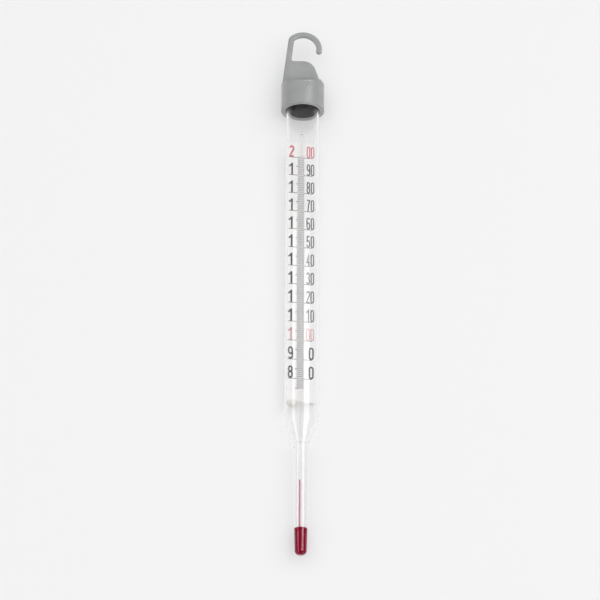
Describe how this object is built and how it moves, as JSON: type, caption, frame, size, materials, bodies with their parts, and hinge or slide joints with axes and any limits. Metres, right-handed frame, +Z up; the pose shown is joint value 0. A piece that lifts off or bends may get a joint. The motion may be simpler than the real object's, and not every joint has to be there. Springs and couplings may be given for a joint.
{
  "type": "thermometer",
  "caption": "Hanging liquid-in-glass thermometer: printed scale card and spirit capillary sealed in a glass tube, slim stem with a red bulb, and a moulded hook cap.",
  "frame": {"origin": "centre of the hook's round throat, where the thermometer hangs", "axes": "+Z up along the thermometer's axis, +X to the right as the scale is read, the scale faces -Y"},
  "size_m": [0.0224, 0.0224, 0.2808],
  "materials": {
    "cap_plastic": "grey moulded plastic, satin, with a fine mould texture",
    "clear_glass": "clear drawn glass, fire polished",
    "red_spirit": "deep red dyed spirit, a liquid",
    "card_paper": "white coated card, printed in black and red",
    "cement": "pale beige translucent cement"
  },
  "bodies": {
    "thermometer": {"hook_cap": "cap_plastic", "sheath_tube": "clear_glass", "stem_tube": "clear_glass", "capillary_tube": "clear_glass", "bulb": "clear_glass", "reservoir_spirit": "red_spirit", "scale_card": "card_paper", "card_cement": "cement"},
    "spirit_column": {"spirit_thread": "red_spirit", "spirit_meniscus": "red_spirit"}
  },
  "joints": [
    {"name": "spirit_rise", "type": "slide", "parent": "thermometer", "child": "spirit_column", "axis": [0, 0, 1], "range_m": [-0.02, 0.172], "deforming": ["spirit_thread"]}
  ]
}
